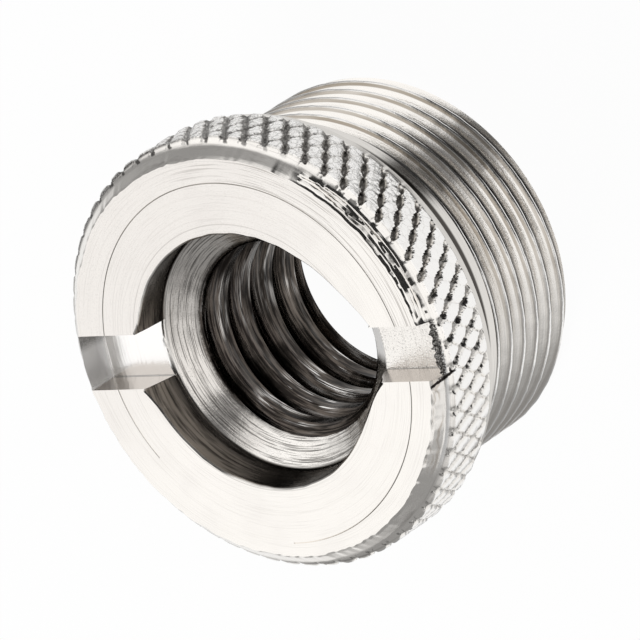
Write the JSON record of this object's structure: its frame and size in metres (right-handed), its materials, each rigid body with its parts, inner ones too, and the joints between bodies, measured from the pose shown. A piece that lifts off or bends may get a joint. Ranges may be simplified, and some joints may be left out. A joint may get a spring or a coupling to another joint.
{
  "type": "microphone stand thread adapter",
  "caption": "Plated thread adapter bush: fine male thread on the shank, coarse female thread in the bore, and a knurled, slotted flange head.",
  "frame": {"origin": "centre of the thread end face, on the axis of the threads, at the bottom of the part", "axes": "+Z along the axis, from the thread end to the slotted face; +X along the screwdriver slot"},
  "size_m": [0.0184, 0.0184, 0.0111],
  "materials": {
    "nickel_plate": "bright nickel plate over turned metal, fine tool marks on the faces"
  },
  "bodies": {
    "root": {"adapter_body": "nickel_plate"}
  },
  "joints": []
}
